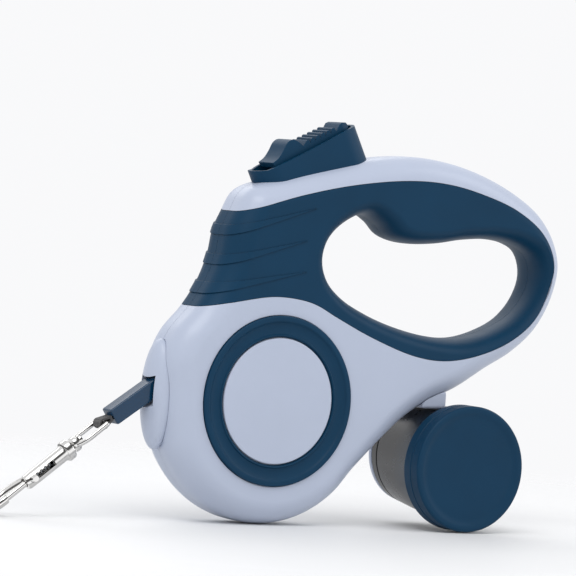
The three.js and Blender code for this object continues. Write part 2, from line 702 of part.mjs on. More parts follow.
function addTapeEnd() {
  const from = -SLEEVE.inside;
  const to = from + SLEEVE.length;
  const room = { width: TAPE.width + 2 * GAP, height: TAPE.thick + 2 * GAP };
  const sleeve = noseBar(SLEEVE.width, SLEEVE.height, from, to)
    .subtract(noseBar(room.width, room.height, from - 1, to + 1));
  addPart('leash_sleeve', geometryOf(sleeve), navyPlastic);

  const innerR = 1.2;
  const centres = [];
  const start = to + GAP;
  const closed = EYE_REACH - start;
  for (let i = 0; i <= 12; i += 1) {
    const angle = -Math.PI / 2 + (i / 12) * Math.PI;
    const radius = innerR + TAPE.thick / 2;
    centres.push(new THREE.Vector2(closed + radius * Math.cos(angle), radius * Math.sin(angle)));
  }
  centres.unshift(new THREE.Vector2(0, -0.45));
  centres.push(new THREE.Vector2(0, 0.45));
  const half = TAPE.width / 2;
  const strap = strip(centres, TAPE.thick);
  const joined = prism(strap, -half, half).add(solid(box(0.8, 2 * half, 1.4, 0.4, 0, 0)));
  const origin = NOSE_EXIT.clone().addScaledVector(SLEEVE_DIR, start);
  const turn = Math.PI - Math.atan2(-SLEEVE_DIR.z, -SLEEVE_DIR.x);
  const loop = geometryOf(joined).rotateY(turn).translate(origin.x, origin.y, origin.z);
  addPart('tape_end_loop', loop, tapeWeave);
}

// A group at the bar of the eye: its +Y runs along the snap, its +X is rolled towards the left.
function snapFrame(roll) {
  const group = new THREE.Group();
  const down = new THREE.Vector3(-SNAP_DIR.z, 0, SNAP_DIR.x);
  const across = down.multiplyScalar(Math.cos(roll)).add(new THREE.Vector3(0, -Math.sin(roll), 0));
  const third = across.clone().cross(SNAP_DIR);
  const basis = new THREE.Matrix4().makeBasis(across, SNAP_DIR, third);
  group.quaternion.setFromRotationMatrix(basis);
  group.position.copy(NOSE_EXIT).addScaledVector(SLEEVE_DIR, EYE_REACH);
  leash.add(group);
  return group;
}

function addEye() {
  const group = snapFrame(Math.PI / 2);
  const wireR = 0.9;
  const side = 4.2;
  const block = { from: 11, to: 13.2, half: 2.6 };
  const bar = new THREE.CylinderGeometry(wireR, wireR, 2 * side, 10).rotateZ(Math.PI / 2);
  const leftArm = wire([[-side, 0, 0], [-side, 4, 0], [-side, 9, 0], [-2, 12, 0]], wireR, 8, 8);
  const rightArm = wire([[side, 0, 0], [side, 4, 0], [side, 9, 0], [2, 12, 0]], wireR, 8, 8);
  const middle = (block.from + block.to) / 2;
  const end = box(2 * block.half, block.to - block.from, 4, 0, middle, 0);
  const knuckles = [-side, side].map((x) => solid(new THREE.SphereGeometry(wireR, 10, 8)
    .translate(x, 0, 0)));
  let eye = solid(bar).add(leftArm).add(rightArm).add(solid(end)).add(knuckles[0]).add(knuckles[1]);
  eye = eye.subtract(solid(rod(1.5, 10, 0, middle, 0, 14)));
  addPart('swivel_eye', geometryOf(eye), chrome, group);
}

function addSnap() {
  const group = snapFrame(SNAP_ROLL);
  const barrelR = 2.7;
  const collar = { from: 14.2, to: 17, r: 3.7 };
  const barrelEnd = 34.6;
  const springFrom = 19;
  let body = turned([
    [0, collar.from], [collar.r - 0.5, collar.from], [collar.r, collar.from + 0.5],
    [collar.r, collar.to - 0.5], [collar.r - 0.6, collar.to], [barrelR, collar.to + 0.3],
    [barrelR, barrelEnd], [0, barrelEnd],
  ], 0, 0, 20);
  const hook = wire([
    [0.6, 29, 0], [3.2, 32, 0], [7, 36, 0], [8.8, 40.5, 0], [8, 45.2, 0], [4.4, 48.1, 0],
    [1.1, 47.4, 0], [0, 44.8, 0], [0, 43.4, 0],
  ], 1.6, 26, 8);
  body = body.add(hook);
  const boreLength = barrelEnd - springFrom + 1;
  body = body.subtract(solid(rod(BOLT.boreR, boreLength, 0, springFrom + boreLength / 2, 0, 14)));
  const shankSeat = 17.3;
  body = body.subtract(solid(rod(1.5, 10, 0, shankSeat - 5, 0, 14)));
  const knobR = 0.75;
  const slot = { from: BOLT.knob - BOLT.travel - knobR - GAP, to: BOLT.knob + knobR + GAP };
  const slotBox = box(2 * (knobR + GAP), slot.to - slot.from, 6, 0, (slot.from + slot.to) / 2, -3);
  body = body.subtract(solid(slotBox.rotateY(KNOB_TURN)));
  addPart('snap_body', geometryOf(body), chrome, group);

  const shank = turned([
    [0, 9.2], [2, 9.2], [2, 10.7], [1.2, 10.7], [1.2, 17], [0, 17],
  ], 0, 0, 14);
  addPart('swivel_shank', geometryOf(shank), chrome, group);

  const pin = solid(rod(BOLT.r, BOLT.to - BOLT.from, 0, (BOLT.from + BOLT.to) / 2, 0, 14));
  const stub = new THREE.CylinderGeometry(knobR, knobR, 3.6, 10).rotateX(Math.PI / 2);
  const head = new THREE.CylinderGeometry(1.4, 1.4, 1.2, 12).rotateX(Math.PI / 2);
  const bolt = pin.add(solid(stub.translate(0, BOLT.knob, -1.8).rotateY(KNOB_TURN)))
    .add(solid(head.translate(0, BOLT.knob, -barrelR - GAP - 0.6).rotateY(KNOB_TURN)));
  addPart('snap_bolt', geometryOf(bolt), chrome, group);

  const coil = [];
  const turns = 6;
  for (let i = 0; i <= turns * 8; i += 1) {
    const angle = (i / 8) * 2 * Math.PI;
    const along = springFrom + 0.5 + (10.9 * i) / (turns * 8);
    coil.push([0.85 * Math.cos(angle), along, 0.85 * Math.sin(angle)]);
  }
  addPart('bolt_spring', geometryOf(wire(coil, 0.2, turns * 7, 4)), steel, group);
}

// ---------- waste bag dispenser ----------

// The middle of the dispenser at a level y: its far end sits higher and further back.
function cupCentre(y) {
  const share = (y - CUP.from) / (CUP.to - CUP.from);
  return { x: CAP.x + CUP.lean * share, z: CAP.z + CUP.rise * share };
}

function cupRadius(y) {
  const share = (y - CUP.from) / (CUP.to - CUP.from);
  return CUP.nearR + (CUP.farR - CUP.nearR) * share;
}

// A slice of the leaning cone between two levels, made smaller all round by a wall.
function cupSlice(from, to, wall, sides = 32) {
  const loops = [from, to].map((y) => {
    const centre = cupCentre(y);
    const radius = cupRadius(y) - wall;
    const loop = [];
    for (let i = 0; i < sides; i += 1) {
      const angle = (i / sides) * 2 * Math.PI;
      loop.push(new THREE.Vector2(
        centre.x + radius * Math.cos(angle),
        centre.z + radius * Math.sin(angle),
      ));
    }
    return loop;
  });
  return loft(loops, [from, to]);
}

function hangerTongue(clearance) {
  const grown = 2 * clearance;
  return solid(box(6.4 + grown, 5.6 + grown, 8 + grown, 68, 0, 46.5));
}

function addDispenser() {
  const floorThick = 1.6;
  const cup = cupSlice(CUP.from, CUP.to, 0)
    .subtract(cupSlice(CUP.from - 1, CUP.to - floorThick, CUP.wall));
  addPart('dispenser_cup', geometryOf(cup), cupPlastic);

  const capBack = CAP.face + CAP.skirt;
  const skirtInner = CAP.r - CAP.wall;
  const faceThick = 1.7;
  const cap = turned([
    [0, CAP.face + 0.5], [CAP.r - 3, CAP.face + 0.5], [CAP.r - 1.6, CAP.face],
    [CAP.r - 0.6, CAP.face], [CAP.r, CAP.face + 0.8], [CAP.r, capBack], [skirtInner, capBack],
    [skirtInner, CAP.face + faceThick], [0, CAP.face + faceThick],
  ], CAP.x, CAP.z, 36);
  addPart('dispenser_cap', geometryOf(cap), navyPlastic);

  const plugFrom = CUP.to + GAP;
  const plugTo = plugFrom + PLUG_THICK;
  const spigotWall = HOOP.wall + GAP;
  const plug = cupSlice(plugFrom, plugTo, 0).add(cupSlice(plugTo - 1, HOOP.to, spigotWall));
  addPart('dispenser_end_plug', geometryOf(plug), blackPlastic);

  const hoop = cupSlice(HOOP.from, HOOP.to, 0).subtract(cupSlice(HOOP.from - 1, HOOP.to + 1, HOOP.wall));
  const saddleLow = 42.4;
  const saddle = solid(box(10, 9 + HOOP.to, 6.4, 68, (HOOP.to - 9) / 2, saddleLow + 3.2));
  const strut = solid(box(8, HOOP.to - HOOP.from, 8, 69, (HOOP.from + HOOP.to) / 2, 40.4));
  const clearBody = bodySolid(-GAP);
  const clearCup = cupSlice(-12, CUP.to + PLUG_THICK + GAP, -GAP);
  let hanger = saddle.subtract(clearBody).add(hangerTongue(0));
  hanger = hanger.add(hoop).add(strut.subtract(cupSlice(HOOP.from - 1, HOOP.to + 1, HOOP.wall)));
  addPart('dispenser_hanger', geometryOf(largestPiece(hanger.subtract(clearCup))), casingPlastic);

  const middle = cupCentre(-2);
  const [rollFrom, rollTo] = [-15.5, 10.5];
  const rollInner = 6.3;
  const rollOuter = 14.8;
  const roll = turned([
    [rollInner, rollFrom], [rollOuter, rollFrom], [rollOuter, rollTo], [rollInner, rollTo],
  ], middle.x, middle.z, 28);
  addPart('bag_roll', geometryOf(roll), finish(COLOUR.bag, 0.6));
  const core = turned([
    [5, rollFrom - 1], [6, rollFrom - 1], [6, rollTo + 0.8], [5, rollTo + 0.8],
  ], middle.x, middle.z, 20);
  addPart('bag_core', geometryOf(core), finish(COLOUR.card, 0.9));
}

addCasing();
addTrims();
addSpool();
addPowerSpring();
addTapeRun();
addNose();
addBrake();
addScrews();
addTapeEnd();
addEye();
addSnap();
addDispenser();
leash.position.copy(FRAME_SHIFT);
leash.updateMatrixWorld(true);

export default leash;
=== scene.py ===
"""A retractable dog leash with thumb brake, swivel bolt snap and bag dispenser, on a pale floor."""

import math

import bmesh
import bpy
from mathutils import Matrix, Vector


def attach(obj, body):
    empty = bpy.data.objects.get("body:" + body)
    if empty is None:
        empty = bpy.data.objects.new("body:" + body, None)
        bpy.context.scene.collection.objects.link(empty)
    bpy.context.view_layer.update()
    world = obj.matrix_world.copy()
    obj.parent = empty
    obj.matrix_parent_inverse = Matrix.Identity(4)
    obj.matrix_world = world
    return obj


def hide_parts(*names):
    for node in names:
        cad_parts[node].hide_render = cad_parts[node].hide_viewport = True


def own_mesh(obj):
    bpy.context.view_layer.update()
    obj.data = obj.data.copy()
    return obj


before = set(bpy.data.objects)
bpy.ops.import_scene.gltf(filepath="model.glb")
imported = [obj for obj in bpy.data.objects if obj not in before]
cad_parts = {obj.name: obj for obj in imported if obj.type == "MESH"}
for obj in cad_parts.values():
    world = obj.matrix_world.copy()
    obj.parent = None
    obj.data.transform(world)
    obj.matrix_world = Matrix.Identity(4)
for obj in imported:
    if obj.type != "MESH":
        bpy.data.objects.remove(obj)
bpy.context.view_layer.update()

MM = 0.001
SHIFT = Vector((-9.03, 0.6, 0))     # puts the origin under the middle of the box

# ---------- measures, in millimetres, as in the CAD source ----------

HALF_THICK = 12.0
EDGE_REACH = 8.5                    # how far the rounded edge comes in, seen from the side
EDGE_START = 3.0                    # where the rounding starts, from the parting plane
PART_GAP = 0.06                     # from the parting plane to either half
GRIP_SKIN = 2.6
RIM_WALL = 3.0                      # grip around the finger opening
RIDGE_PROUD = 0.35
SEAM = 0.14
PAST_CASING = HALF_THICK + 5
CAVITY_HALF = 9.8
DRUM_X, DRUM_Z, DRUM_R = 1.0, 43.0, 43.0
DRUM_ROOM_R = 39.6
SCREW_CIRCLE_R = 36.8

OPENING_FLARE = 5.5
OPENING_STRAIGHT = 1.5

BOSS_X, BOSS_Z = -39.9, 43
BOSS_RADII = (5, 7.5, 19)           # along X, Y and Z
BOSS_BACK = -38.4

GUIDE_WIDTH, GUIDE_HEIGHT = 8.5, 8.1
GUIDE_WALL = 0.7
SLEEVE_WIDTH, SLEEVE_HEIGHT = 6.4, 6
SLEEVE_FROM, SLEEVE_TO = -3, 19.7   # from the nose, along the tape
EYE_REACH = 23.6

RIDGE_DROP = 5.2
RIDGE_LINES = [((-34, 98.4), (11, 109.9)), ((-34, 89.3), (8.2, 98.6)), ((-38, 80.6), (8.9, 87.9))]

TRAY_TILT = math.atan2(16, 30.2)
TRAY_FROM, TRAY_TO = 48.1, 92.2     # along the tilted rim
TRAY_HALF_WIDTH = 7
TRAY_END = 8.5
TRAY_WALL = 1.3
RIB_STEP = (2.02, 0.98)
RIB_SHAPE = [(-0.55, -0.35), (0, 0), (0.55, -0.05), (1.25, -1.15)]

# the snap, measured from the bar of its eye
EYE_HALF_WIDTH = 4.2
EYE_WIRE = 0.9
EYE_ROLL = math.pi / 2
SNAP_ROLL = 4.887
SPRING_FROM, SPRING_LENGTH = 19.5, 10.9
SPRING_R, SPRING_WIRE = 0.85, 0.2
SPRING_TURNS = 6
BOLT_R, BOLT_BORE_R = 1.05, 1.35
KNOB_AT = 32
BOLT_TRAVEL = 8.5

CAP_X, CAP_Z = 76.8, 22.4
CUP_NEAR_R, CUP_FAR_R = 21, 18.4
CUP_FROM, CUP_LENGTH = -18.6, 32.1
CUP_LEAN, CUP_RISE = 1.4, 2.0       # along X and Z, over its length
CUP_WALL = 1.6
HOOP_WALL = 3.2
ROLL_FROM, ROLL_TO = -15.3, 10.5
ROLL_MIDDLE = -2.0
ROLL_BORE_R, ROLL_R = 6.3, 14.8
ROLL_TURNS = 12


def polar(x, z, radius, degrees):
    angle = math.radians(degrees)
    return x + radius * math.cos(angle), z + radius * math.sin(angle)


BODY_POINTS = [
    *[polar(DRUM_X, DRUM_Z, DRUM_R, degrees) for degrees in range(-34, -155, -12)],
    (-39.6, 33), (-40.8, 46), (-41, 56), (-37.4, 65), (-29.8, 74), (-24.3, 83), (-21.1, 92),
    (-19.7, 100.5), (-16.9, 107), (-12.6, 114.5), (2, 119.8), (20, 124.6), (38, 128.6),
    (54.5, 130.2), (70, 128.9), (84, 125.5), (98, 119.8), (108.6, 113), (115.3, 104.5),
    (118.3, 95), (116.1, 83), (109.8, 71.6), (100.3, 63.1), (90, 57.1), (78, 49.7),
    (65, 43.8), (56, 37.8), (47.5, 30),
]
OPENING_POINTS = [
    (18.3, 92.5), (20.5, 86), (27, 80), (38, 74.6), (51, 70.4), (66, 67.6), (79, 67.4),
    (91, 70.6), (101.5, 76.3), (107.8, 84), (109.8, 91.5), (107, 98.2), (99.5, 101.9),
    (88.5, 103.1), (77, 102.2), (66, 100.3), (54, 99.8), (47, 101.6), (42.2, 105.7),
    (35, 108.8), (26, 105), (20, 99),
]
GRIP_POINTS = [
    (-52, 72.4), (-36, 72.8), (-20, 76), (-3, 78.8), (8.6, 78.1), (14.5, 76.6), (23, 72.7),
    (38, 66.4), (56, 60.8), (68.4, 59.6), (81.5, 61.7), (96, 67.4), (106, 75.3),
    (111.8, 86.3), (112.9, 96.4), (108, 105.4), (96, 113.5), (77, 119.4), (62.7, 121.6),
    (48, 121.6), (27, 118.9), (6, 114.1), (-26, 104.3), (-36, 102.8), (-52, 102.6),
]
NECK_POINTS = [
    (-27, 70), (-19, 84), (-18, 96), (-13, 106), (2, 111.5), (13, 113), (15, 106),
    (13.5, 99), (12.5, 88), (17, 78), (5, 70),
]
TRAY_SIDE = [
    (-12, 120.7), (-5.8, 121.7), (12.6, 131.2), (24.4, 137.7), (30, 139.8), (40, 129),
    (40, 127), (30, 125), (8.5, 119.3), (-12, 113.4),
]
SCREWS = [
    *[polar(DRUM_X, DRUM_Z, SCREW_CIRCLE_R, degrees) for degrees in (20, 128, 232, 308)],
    (-12.8, 93.2), (58, 112), (93, 111.5), (70, 55.5),
]

# ---------- curves ----------


def even_steps(dense, samples, steps):
    """Points at even distances along a dense line."""
    lengths = [0.0]
    for a, b in zip(dense, dense[1:]):
        lengths.append(lengths[-1] + (b - a).length)
    points, j = [], 0
    for i in range(samples):
        want = lengths[-1] * i / steps
        while j < len(dense) - 2 and lengths[j + 1] < want:
            j += 1
        share = (want - lengths[j]) / max(lengths[j + 1] - lengths[j], 1e-9)
        points.append(dense[j].lerp(dense[j + 1], min(max(share, 0), 1)))
    return points


def catmull_rom(points, samples, closed=True):
    """Even samples along a centripetal Catmull-Rom curve through points (x, z)."""
    count = len(points)
    dense = []
    spans = count if closed else count - 1
    for i in range(spans):
        if closed:
            p = [Vector(points[(i + k - 1) % count]) for k in range(4)]
        else:
            p = [Vector(points[min(max(i + k - 1, 0), count - 1)]) for k in range(4)]
            if i == 0:
                p[0] = p[1] * 2 - p[2]
            if i == spans - 1:
                p[3] = p[2] * 2 - p[1]
        dt = [max((p[k + 1] - p[k]).length_squared ** 0.25, 1e-6) for k in range(3)]
        before, here, after = ((p[k + 1] - p[k]) / dt[k] for k in range(3))
        m1 = (before - (p[2] - p[0]) / (dt[0] + dt[1]) + here) * dt[1]
        m2 = (here - (p[3] - p[1]) / (dt[1] + dt[2]) + after) * dt[1]
        for k in range(24):
            t = k / 24
            dense.append(
                p[1] * (2 * t**3 - 3 * t**2 + 1) + m1 * (t**3 - 2 * t**2 + t)
                + p[2] * (3 * t**2 - 2 * t**3) + m2 * (t**3 - t**2)
            )
    dense.append(dense[0].copy() if closed else Vector(points[-1]))
    return even_steps(dense, samples, samples if closed else samples - 1)


def catmull_rom_3d(points, samples):
    """Even samples along a uniform Catmull-Rom curve through points (x, y, z)."""
    p = [Vector(q) for q in points]
    dense = []
    for i in range(len(p) - 1):
        a = p[i - 1] if i > 0 else p[0] * 2 - p[1]
        d = p[i + 2] if i + 2 < len(p) else p[-1] * 2 - p[-2]
        b, c = p[i], p[i + 1]
        for k in range(16):
            t = k / 16
            dense.append(0.5 * (2 * b + (c - a) * t + (2 * a - 5 * b + 4 * c - d) * t * t
                                + (3 * b - a - 3 * c + d) * t**3))
    dense.append(p[-1])
    return even_steps(dense, samples, samples - 1)


def anticlockwise(loop):
    area = sum(a.x * b.y - b.x * a.y for a, b in zip(loop, loop[1:] + loop[:1]))
    return loop if area > 0 else loop[::-1]


def inset(loop, distance):
    """The loop moved inwards; outwards when the distance is negative."""
    count = len(loop)
    moved = []
    for i, p in enumerate(loop):
        along = (loop[(i + 1) % count] - loop[i - 1]).normalized()
        moved.append(p + Vector((-along.y, along.x)) * distance)
    return moved


def arc(cx, cy, radius, start, end, steps):
    """Points of a profile's rounded corner, with angles in degrees."""
    return [polar(cx, cy, radius, start + (end - start) * i / steps) for i in range(steps + 1)]


BODY = anticlockwise(catmull_rom(BODY_POINTS, 230))
OPENING = anticlockwise(catmull_rom(OPENING_POINTS, 150))
GRIP = anticlockwise(catmull_rom(GRIP_POINTS, 220))
NECK = anticlockwise(catmull_rom(NECK_POINTS, 48))

# ---------- meshes ----------


def linked(name, data):
    """A new object in the scene."""
    obj = bpy.data.objects.new(name, data)
    bpy.context.scene.collection.objects.link(obj)
    return obj


def new_object(name, verts, faces):
    """An object with its faces outwards, from points in millimetres."""
    mesh = bpy.data.meshes.new(name)
    mesh.from_pydata([Vector(v) * MM for v in verts], [], faces)
    mesh.update()
    bm = bmesh.new()
    bm.from_mesh(mesh)
    bmesh.ops.recalc_face_normals(bm, faces=bm.faces)
    bm.to_mesh(mesh)
    bm.free()
    return linked(name, mesh)


def skin_faces(count, rows):
    """Quads between rows of count points each, and a cap on either end."""
    faces = []
    for k in range(rows - 1):
        here, ahead = k * count, (k + 1) * count
        for i in range(count):
            j = (i + 1) % count
            faces.append((here + i, here + j, ahead + j, ahead + i))
    last = (rows - 1) * count
    faces.append(tuple(range(count))[::-1])
    faces.append(tuple(range(last, last + count)))
    return faces


def loft(name, loops, levels):
    """A closed skin through side-view loops of equal length, each at its own Y."""
    verts = [(p[0], level, p[1]) for loop, level in zip(loops, levels) for p in loop]
    return new_object(name, verts, skin_faces(len(loops[0]), len(loops)))


def mirrored_loft(name, loops, levels):
    """A loft through loops on one side of the parting plane and their mirror images."""
    return loft(name, loops[::-1] + loops, [-level for level in levels[::-1]] + levels)


def prism(name, loop, low, high):
    return loft(name, [loop, loop], [low, high])


def through(name, loop):
    """A prism that reaches past both sides of the casing."""
    return prism(name, loop, -PAST_CASING, PAST_CASING)


def turned(name, profile, x, z, sides=96):
    """A closed profile of (radius, y) turned about the axis along Y through (x, z)."""
    verts, faces, rows = [], [], []
    for radius, y in profile:
        if radius < 1e-6:
            rows.append([len(verts)])
            verts.append((x, y, z))
            continue
        rows.append(list(range(len(verts), len(verts) + sides)))
        for i in range(sides):
            a = 2 * math.pi * i / sides
            verts.append((x + radius * math.cos(a), y, z + radius * math.sin(a)))
    for a, b in zip(rows, rows[1:] + rows[:1]):
        if len(a) == 1 and len(b) == 1:
            continue
        for i in range(sides):
            j = (i + 1) % sides
            if len(a) == 1:
                faces.append((a[0], b[i], b[j]))
            elif len(b) == 1:
                faces.append((a[i], b[0], a[j]))
            else:
                faces.append((a[i], b[i], b[j], a[j]))
    return new_object(name, verts, faces)


def rod(name, radius, low, high, x, z, sides=32):
    return turned(name, [(0, low), (radius, low), (radius, high), (0, high)], x, z, sides)


def ball(name, radius, centre):
    rows = 12
    x, y, z = centre
    angles = [math.pi * i / rows for i in range(1, rows)]
    profile = [(0, y - radius)]
    profile += [(radius * math.sin(a), y - radius * math.cos(a)) for a in angles]
    profile.append((0, y + radius))
    return turned(name, profile, x, z, 24)


def block(name, size, centre):
    sx, sy, sz = (s / 2 for s in size)
    cx, cy, cz = centre
    signs = (-1, 1)
    verts = [(cx + i * sx, cy + j * sy, cz + k * sz) for i in signs for j in signs for k in signs]
    faces = [(0, 1, 3, 2), (4, 6, 7, 5), (0, 4, 5, 1), (2, 3, 7, 6), (0, 2, 6, 4), (1, 5, 7, 3)]
    return new_object(name, verts, faces)


def tube(name, points, radius, steps, sides=20):
    """A round bar along a smooth curve through points (x, y, z), with flat ends."""
    curve = catmull_rom_3d(points, steps)
    verts = []
    normal = None
    for i, p in enumerate(curve):
        along = (curve[min(i + 1, steps - 1)] - curve[max(i - 1, 0)]).normalized()
        if normal is None:
            normal = along.orthogonal().normalized()
        normal = (normal - along * normal.dot(along)).normalized()
        side = along.cross(normal)
        for k in range(sides):
            a = 2 * math.pi * k / sides
            verts.append(p + (normal * math.cos(a) + side * math.sin(a)) * radius)
    return new_object(name, verts, skin_faces(sides, steps))


def remove(obj):
    mesh = obj.data
    bpy.data.objects.remove(obj)
    bpy.data.meshes.remove(mesh)


def bake(obj):
    """Applies the object's modifiers to its mesh."""
    graph = bpy.context.evaluated_depsgraph_get()
    mesh = bpy.data.meshes.new_from_object(obj.evaluated_get(graph), depsgraph=graph)
    old = obj.data
    obj.modifiers.clear()
    obj.data = mesh
    bpy.data.meshes.remove(old)
    return obj


def boolean(obj, operation, others):
    """Works each of the others into the object in turn, and removes it."""
    for other in others:
        mod = obj.modifiers.new("boolean", "BOOLEAN")
        mod.operation = operation
        mod.solver = "EXACT"
        mod.object = other
        bake(obj)
        remove(other)


def cut(obj, *others):
    boolean(obj, "DIFFERENCE", others)


def unite(obj, *others):
    boolean(obj, "UNION", others)


def clip(obj, *others):
    boolean(obj, "INTERSECT", others)


def mirror_image(obj, name, scale):
    """A copy that is flipped by a scale of -1 along one axis."""
    made = linked(name, obj.data.copy())
    made.data.transform(Matrix.Diagonal((*scale, 1)))
    made.data.flip_normals()
    return made


def smooth(obj, degrees=35):
    """Smooth shading with sharp edges over an angle."""
    bm = bmesh.new()
    bm.from_mesh(obj.data)
    for f in bm.faces:
        f.smooth = True
    limit = math.radians(degrees)
    for e in bm.edges:
        e.smooth = len(e.link_faces) == 2 and e.calc_face_angle(0) < limit
    bm.to_mesh(obj.data)
    bm.free()
    mod = obj.modifiers.new("normals", "WEIGHTED_NORMAL")
    mod.keep_sharp = True
    return obj


def bevel_modifier(obj, width, segments, degrees):
    mod = obj.modifiers.new("bevel", "BEVEL")
    mod.width = width * MM
    mod.segments = segments
    mod.limit_method = "ANGLE"
    mod.angle_limit = math.radians(degrees)


def bevel(obj, width, segments=3, degrees=30):
    bevel_modifier(obj, width, segments, degrees)
    return bake(obj)


def show(obj, body, material, node):
    """A finished piece: it rides on a body, and stands for this CAD node."""
    obj.data.materials.clear()
    obj.data.materials.append(material)
    obj.matrix_world = Matrix.Translation(SHIFT * MM) @ obj.matrix_world
    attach(obj, body)
    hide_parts(node)


# ---------- materials ----------


def linear(*rgb):
    """A colour given in sRGB steps of 0 to 255."""
    shares = [c / 255 for c in rgb]
    return (*[s / 12.92 if s <= 10 / 255 else ((s + 0.055) / 1.055) ** 2.4 for s in shares], 1.0)


def darker(colour, share):
    return (*[c * share for c in colour[:3]], 1.0)


class Nodes:
    """A material's node tree, with short calls to add and join nodes."""

    def __init__(self, name):
        self.material = bpy.data.materials.new(name)
        self.material.use_nodes = True
        self.tree = self.material.node_tree
        self.shader = self.tree.nodes["Principled BSDF"].inputs
        self.place = self.add("ShaderNodeTexCoord").outputs["Object"]

    def add(self, kind, **inputs):
        node = self.tree.nodes.new(kind)
        for key, value in inputs.items():
            node.inputs[key.replace("_", " ")].default_value = value
        return node

    def join(self, a, b):
        self.tree.links.new(a, b)

    def noise(self, scale, detail=3.0, roughness=0.55):
        node = self.add("ShaderNodeTexNoise", Scale=scale, Detail=detail, Roughness=roughness)
        self.join(self.place, node.inputs["Vector"])
        return node.outputs["Fac"]

    def ramp(self, fac, low, high, start=0.3, end=0.7):
        node = self.add("ShaderNodeValToRGB")
        node.color_ramp.elements[0].position = start
        node.color_ramp.elements[1].position = end
        node.color_ramp.elements[0].color = low
        node.color_ramp.elements[1].color = high
        self.join(fac, node.inputs["Fac"])
        return node.outputs["Color"]

    def span(self, value, low, high, start=0.0, end=1.0):
        """The value's stretch from start to end, spread from low to high."""
        node = self.add("ShaderNodeMapRange", From_Min=start, From_Max=end, To_Min=low, To_Max=high)
        self.join(value, node.inputs["Value"])
        return node.outputs["Result"]

    def bump(self, height, strength, distance=0.00005):
        node = self.add("ShaderNodeBump", Strength=strength, Distance=distance)
        self.join(height, node.inputs["Height"])
        return node


def plastic(name, rgb, rough=(0.35, 0.42), grain=4200, grain_strength=0.1, shade=0.94,
            painted_shade_far=None, specular=0.5):
    """Moulded plastic: a faint mottled tone, a fine moulded grain and slightly rounded edges.

    The tone may run into a painted shade, painted_shade_far, over a stretch along Y: a darker
    colour painted where the part lies in shade.
    """
    n = Nodes(name)
    base = linear(*rgb)
    colour = n.ramp(n.noise(38, 2.0), darker(base, shade), base, 0.3, 0.75)
    if painted_shade_far:
        painted_shade_rgb, start, end = painted_shade_far
        split = n.add("ShaderNodeSeparateXYZ")
        n.join(n.place, split.inputs["Vector"])
        mix = n.add("ShaderNodeMixRGB", Color2=linear(*painted_shade_rgb))
        n.join(n.span(split.outputs["Y"], 0, 1, start * MM, end * MM), mix.inputs["Fac"])
        n.join(colour, mix.inputs["Color1"])
        colour = mix.outputs["Color"]
    n.join(colour, n.shader["Base Color"])
    n.join(n.span(n.noise(160, 4.0), *rough), n.shader["Roughness"])
    bump = n.bump(n.noise(grain, 2.0), grain_strength, 0.00004)
    rounded = n.add("ShaderNodeBevel", Radius=0.15 * MM)
    rounded.samples = 4
    n.join(rounded.outputs["Normal"], bump.inputs["Normal"])
    n.join(bump.outputs["Normal"], n.shader["Normal"])
    n.shader["Specular IOR Level"].default_value = specular
    return n.material


def metal(name, rgb, rough, bump):
    """Drawn metal with faint wipe marks."""
    n = Nodes(name)
    base = linear(*rgb)
    n.join(n.ramp(n.noise(90), darker(base, 0.9), base), n.shader["Base Color"])
    n.shader["Metallic"].default_value = 1.0
    n.join(n.span(n.noise(420, 5.0, 0.65), *rough), n.shader["Roughness"])
    n.join(n.bump(n.noise(900), bump).outputs["Normal"], n.shader["Normal"])
    return n.material


# how far the surface faces up, from 0 to 1, and the tone there: dark and light bands of painted
# reflection on the chrome
PAINTED_REFLECTION_BANDS = [
    (0.0, 0.42), (0.34, 0.6), (0.44, 0.42), (0.52, 0.95), (0.6, 0.9), (0.67, 0.06), (0.78, 0.12),
    (0.86, 0.8), (1.0, 0.6),
]


def painted_reflection_chrome(name, up):
    """Bright plating with painted reflections: the dark and light bands of a studio, painted across
    the direction up.
    """
    n = Nodes(name)
    geometry = n.add("ShaderNodeNewGeometry")
    lean = n.add("ShaderNodeVectorMath")
    lean.operation = "DOT_PRODUCT"
    lean.inputs[1].default_value = up
    n.join(geometry.outputs["Normal"], lean.inputs[0])
    bands = n.add("ShaderNodeValToRGB")
    stops = bands.color_ramp.elements
    while len(stops) < len(PAINTED_REFLECTION_BANDS):
        stops.new(0.5)
    for stop, (place, tone) in zip(stops, PAINTED_REFLECTION_BANDS):
        stop.position = place
        stop.color = (tone, tone * 0.99, tone * 0.97, 1)
    n.join(n.span(lean.outputs["Value"], 0, 1, -1, 1), bands.inputs["Fac"])
    n.join(bands.outputs["Color"], n.shader["Base Color"])
    n.shader["Metallic"].default_value = 1.0
    n.join(n.span(n.noise(420, 5.0, 0.65), 0.08, 0.16), n.shader["Roughness"])
    return n.material


def woven(name, rgb, lit):
    """Nylon tape: a fine weave from two crossed wave patterns."""
    n = Nodes(name)
    both = n.add("ShaderNodeMath")
    both.operation = "MULTIPLY"
    for direction, factor in zip("XY", both.inputs):
        wave = n.add("ShaderNodeTexWave", Scale=520.0, Distortion=0.6, Detail=1.0)
        wave.bands_direction = direction
        n.join(n.place, wave.inputs["Vector"])
        n.join(wave.outputs["Fac"], factor)
    weave = both.outputs["Value"]
    n.join(n.ramp(weave, linear(*rgb), linear(*lit), 0.1, 0.7), n.shader["Base Color"])
    n.shader["Roughness"].default_value = 0.8
    n.join(n.bump(weave, 0.5, 0.0001).outputs["Normal"], n.shader["Normal"])
    return n.material


